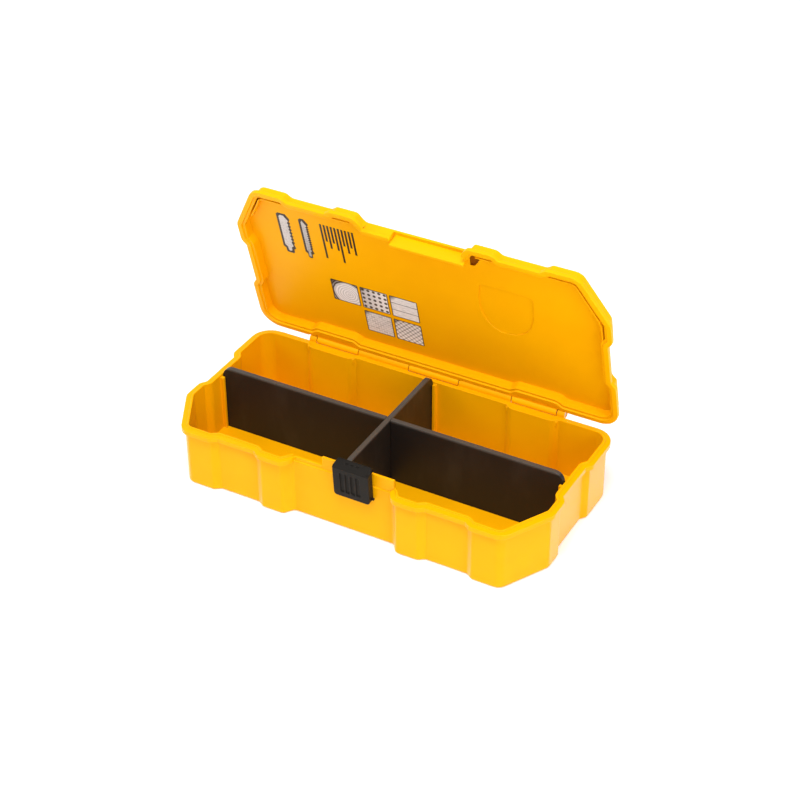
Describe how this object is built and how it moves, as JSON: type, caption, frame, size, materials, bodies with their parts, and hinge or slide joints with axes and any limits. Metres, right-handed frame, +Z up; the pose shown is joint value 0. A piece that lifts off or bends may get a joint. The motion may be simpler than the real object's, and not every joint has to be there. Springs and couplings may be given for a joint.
{
  "type": "saw blade storage case",
  "caption": "Long low plastic case with stepped walls, a hinged lid, a hooked front latch, and crossed dividers that part it into compartments for saw blades.",
  "frame": {"origin": "centre of the base's flat underside, on the ground, under the middle of the base's walls", "axes": "+X along the case to the right as seen from the front, -Y towards the front with the latch, +Z up"},
  "size_m": [0.2344, 0.1211, 0.1503],
  "materials": {
    "base_plastic": "satin moulded plastic, amber orange",
    "lid_plastic": "satin moulded plastic, amber orange",
    "pin_steel": "drawn steel rod",
    "latch_plastic": "satin moulded plastic, brown black",
    "latch_pin_plastic": "satin moulded plastic, brown black",
    "divider_plastic": "satin moulded plastic, brown black"
  },
  "bodies": {
    "base": {"base_tub": "base_plastic", "hinge_pin": "pin_steel", "latch_pin": "latch_pin_plastic", "long_divider": "divider_plastic", "cross_divider": "divider_plastic"},
    "lid": {"lid": "lid_plastic"},
    "latch": {"latch": "latch_plastic"}
  },
  "joints": [
    {"name": "lid_hinge", "type": "hinge", "parent": "base", "child": "lid", "pos_m": [0, 0.059, 0.0386], "axis": [-1, 0, 0], "range_deg": [-74.2, 43.8]},
    {"name": "latch_pivot", "type": "hinge", "parent": "base", "child": "latch", "pos_m": [0.0084, -0.0501, 0.0286], "axis": [1, 0, 0], "range_deg": [-4.5, 54]}
  ]
}
